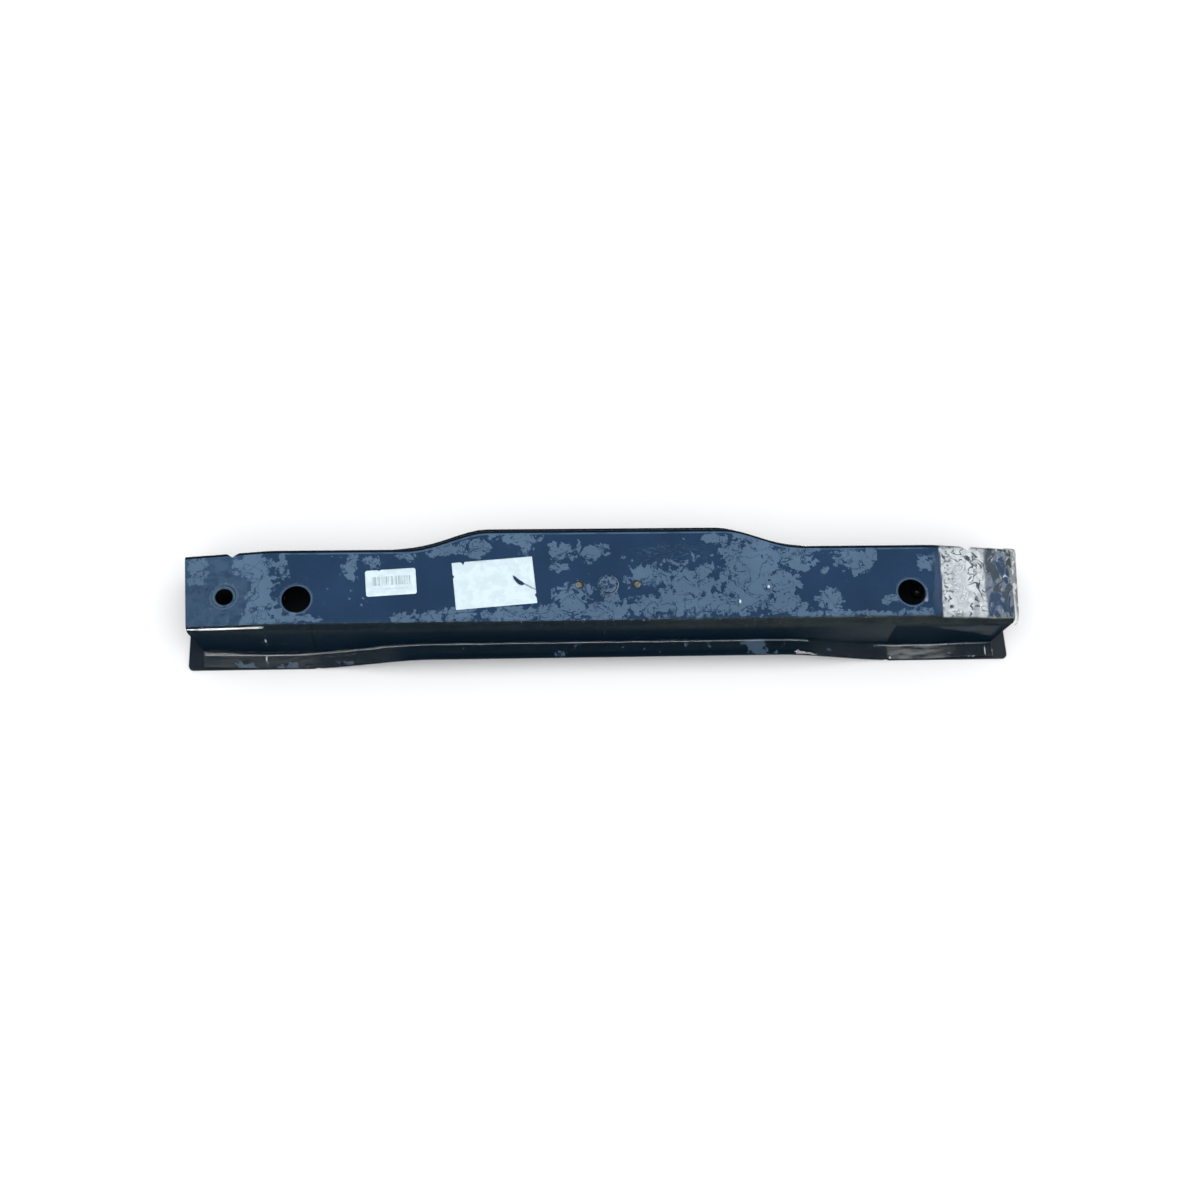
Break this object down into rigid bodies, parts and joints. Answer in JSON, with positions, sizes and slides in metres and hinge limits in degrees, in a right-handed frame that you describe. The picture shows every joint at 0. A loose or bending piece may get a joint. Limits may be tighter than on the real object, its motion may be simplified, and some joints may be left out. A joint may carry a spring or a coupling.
{
  "type": "bumper reinforcement beam",
  "caption": "Pressed-steel bumper reinforcement beam: humped hat-section channel, rear plates, weld nuts, tow-eye socket and clear wrap; bolts behind a bumper.",
  "frame": {"origin": "middle of the footprint, on the plane that the rear of the mounting plates rests on", "axes": "+X along the beam to its right-hand end, +Y to the humped edge, +Z out of the front face"},
  "size_m": [1.0574, 0.1792, 0.0836],
  "materials": {
    "blue_paint": "satin dark blue primer with lighter mottling under the film",
    "inner_paint": "dark blue primer, duller inside",
    "nut_steel": "plain plated steel, slightly yellow",
    "plug_steel": "satin blue",
    "label_paper": "matte white under film",
    "clear_film": "thin clear wrap, glossy and wrinkled"
  },
  "bodies": {
    "root": {"front_channel": "blue_paint", "rear_closing_plate": "blue_paint", "left_mounting_plate": "blue_paint", "right_mounting_plate": "blue_paint", "left_bulkhead": "inner_paint", "right_bulkhead": "inner_paint", "tow_eye_socket": "inner_paint", "tow_socket_pad": "inner_paint", "blanking_plug": "plug_steel", "large_label": "label_paper", "left_centre_nut": "nut_steel", "left_mount_nut_inner_lower": "nut_steel", "left_mount_nut_inner_upper": "nut_steel", "left_mount_nut_outer_lower": "nut_steel", "left_mount_nut_outer_upper": "nut_steel", "protective_film": "clear_film", "right_centre_nut": "nut_steel", "right_mount_nut_inner_lower": "nut_steel", "right_mount_nut_inner_upper": "nut_steel", "right_mount_nut_outer_lower": "nut_steel", "right_mount_nut_outer_upper": "nut_steel", "small_label": "label_paper"}
  },
  "joints": []
}
